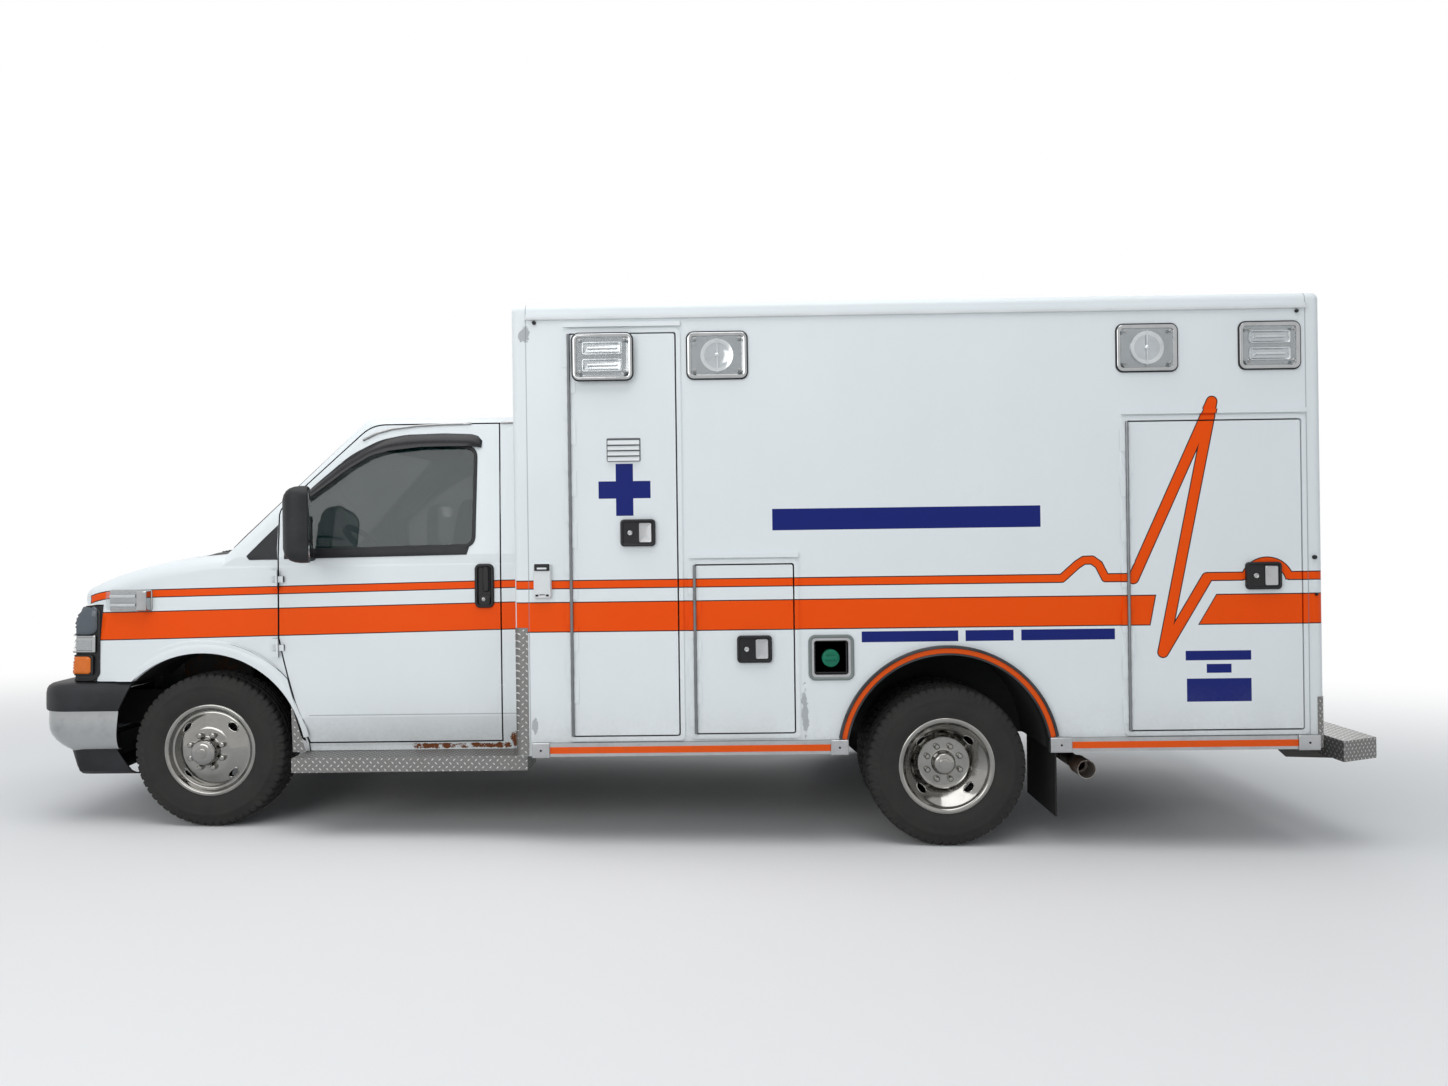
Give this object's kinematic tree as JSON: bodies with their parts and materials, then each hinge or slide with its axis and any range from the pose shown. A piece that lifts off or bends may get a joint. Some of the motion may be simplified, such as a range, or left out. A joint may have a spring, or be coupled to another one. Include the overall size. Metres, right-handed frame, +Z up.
{
  "type": "modular ambulance",
  "caption": "Van-cab ambulance with a square patient box, opening cab, locker, entry and rear doors, hood, steered front wheels and twin rear wheels.",
  "frame": {"origin": "middle of the length and width, on the road", "axes": "+X rearwards, +Y to the right-hand side, +Z up"},
  "size_m": [6.441, 2.6, 2.5689],
  "materials": {
    "white_paint": "gloss",
    "grille_plastic": "matte",
    "lamp_housing": "gloss",
    "chrome": "polished",
    "black_plastic": "matte",
    "grey_plastic": "matte",
    "glass": "tinted",
    "seat_cloth": "woven",
    "floor_sheet": "matte",
    "cabinet_white": "satin",
    "lamp_lens": "clear ribbed",
    "rail_aluminium": "brushed",
    "tread_aluminium": "diamond tread",
    "rubber": "matte",
    "frame_black": "satin",
    "cast_iron": "rough",
    "pipe_steel": "dull",
    "tyre": "matte"
  },
  "bodies": {
    "body": {"cab_shell": "white_paint", "front_fenders": "white_paint", "grille": "grille_plastic", "headlamps": "lamp_housing", "front_bumper": "chrome", "bumper_cover": "black_plastic", "windshield": "glass", "dashboard": "grey_plastic", "cab_seats": "seat_cloth", "box_left_side": "white_paint", "box_right_side": "white_paint", "box_end_walls": "white_paint", "box_roof": "white_paint", "box_floor": "floor_sheet", "box_interior": "cabinet_white", "body_lamps": "lamp_lens", "side_inlets": "chrome", "rub_rails": "rail_aluminium", "tread_plates": "tread_aluminium", "mud_flaps": "rubber", "rear_step": "tread_aluminium", "frame_rails": "frame_black", "engine_block": "cast_iron", "radiator": "rail_aluminium", "driveline": "cast_iron", "exhaust": "pipe_steel", "fuel_tank": "black_plastic", "front_axle": "cast_iron", "rear_axle": "cast_iron"},
    "hood": {"hood": "white_paint"},
    "cab_door_left": {"cab_door_left": "white_paint", "door_glass_left": "glass", "mirror_left": "black_plastic"},
    "cab_door_right": {"cab_door_right": "white_paint", "door_glass_right": "glass", "mirror_right": "black_plastic"},
    "front_locker_door": {"front_locker_door": "white_paint"},
    "middle_locker_door": {"middle_locker_door": "white_paint"},
    "rear_locker_door": {"rear_locker_door": "white_paint"},
    "entry_door": {"entry_door": "white_paint", "entry_glass": "glass"},
    "right_locker_door": {"right_locker_door": "white_paint"},
    "rear_door_left": {"rear_door_left": "white_paint", "rear_glass_left": "glass"},
    "rear_door_right": {"rear_door_right": "white_paint", "rear_glass_right": "glass"},
    "knuckle_left": {"knuckle_left": "cast_iron"},
    "knuckle_right": {"knuckle_right": "cast_iron"},
    "front_wheel_left": {"wheel_front_left": "chrome", "tyre_front_left": "tyre"},
    "front_wheel_right": {"wheel_front_right": "chrome", "tyre_front_right": "tyre"},
    "rear_wheels_left": {"wheels_rear_left": "chrome", "tyres_rear_left": "tyre"},
    "rear_wheels_right": {"wheels_rear_right": "chrome", "tyres_rear_right": "tyre"}
  },
  "joints": [
    {"name": "hood_hinge", "type": "hinge", "parent": "body", "child": "hood", "pos_m": [-2.44755, 0, 1.34645], "axis": [0, 1, 0], "range_deg": [0, 55]},
    {"name": "cab_door_left_hinge", "type": "hinge", "parent": "body", "child": "cab_door_left", "pos_m": [-1.97457, -1.01, 0.97027], "axis": [0.0209, 0, -0.9998], "range_deg": [0, 70]},
    {"name": "cab_door_right_hinge", "type": "hinge", "parent": "body", "child": "cab_door_right", "pos_m": [-1.97457, 1.01, 0.97027], "axis": [-0.0209, 0, 0.9998], "range_deg": [0, 70]},
    {"name": "front_locker_hinge", "type": "hinge", "parent": "body", "child": "front_locker_door", "pos_m": [-0.52826, -1.2195, 1.40065], "axis": [0.0209, 0, -0.9998], "range_deg": [0, 105]},
    {"name": "middle_locker_hinge", "type": "hinge", "parent": "body", "child": "middle_locker_door", "pos_m": [0.04908, -1.2195, 0.91264], "axis": [0.0209, 0, -0.9998], "range_deg": [0, 105]},
    {"name": "rear_locker_hinge", "type": "hinge", "parent": "body", "child": "rear_locker_door", "pos_m": [2.02837, -1.2195, 1.25416], "axis": [0.0209, 0, -0.9998], "range_deg": [0, 105]},
    {"name": "entry_door_hinge", "type": "hinge", "parent": "body", "child": "entry_door", "pos_m": [-0.52617, 1.2195, 1.30068], "axis": [-0.0209, 0, 0.9998], "range_deg": [0, 105]},
    {"name": "right_locker_hinge", "type": "hinge", "parent": "body", "child": "right_locker_door", "pos_m": [2.03465, 1.2195, 0.95423], "axis": [-0.0209, 0, 0.9998], "range_deg": [0, 105]},
    {"name": "rear_door_left_hinge", "type": "hinge", "parent": "body", "child": "rear_door_left", "pos_m": [2.92139, -0.6365, 1.57294], "axis": [0.0209, 0, -0.9998], "range_deg": [0, 105]},
    {"name": "rear_door_right_hinge", "type": "hinge", "parent": "body", "child": "rear_door_right", "pos_m": [2.92139, 0.6365, 1.57294], "axis": [-0.0209, 0, 0.9998], "range_deg": [0, 105]},
    {"name": "steering_left", "type": "hinge", "parent": "body", "child": "knuckle_left", "pos_m": [-2.31422, -0.78, 0.372], "axis": [-0.0209, 0, 0.9998], "range_deg": [-30, 30]},
    {"name": "steering_right", "type": "hinge", "parent": "body", "child": "knuckle_right", "pos_m": [-2.31422, 0.78, 0.372], "axis": [-0.0209, 0, 0.9998], "range_deg": [-30, 30]},
    {"name": "front_wheel_left_spin", "type": "hinge", "parent": "knuckle_left", "child": "front_wheel_left", "pos_m": [-2.31422, -0.874, 0.372], "axis": [0, 1, 0], "continuous": true},
    {"name": "front_wheel_right_spin", "type": "hinge", "parent": "knuckle_right", "child": "front_wheel_right", "pos_m": [-2.31422, 0.874, 0.372], "axis": [0, 1, 0], "continuous": true},
    {"name": "rear_wheels_left_spin", "type": "hinge", "parent": "body", "child": "rear_wheels_left", "pos_m": [1.21678, -0.935, 0.372], "axis": [0, 1, 0], "continuous": true},
    {"name": "rear_wheels_right_spin", "type": "hinge", "parent": "body", "child": "rear_wheels_right", "pos_m": [1.21678, 0.935, 0.372], "axis": [0, 1, 0], "continuous": true}
  ],
  "couplings": [
    {"joint": "steering_right", "follows": "steering_left", "ratio": 1}
  ]
}
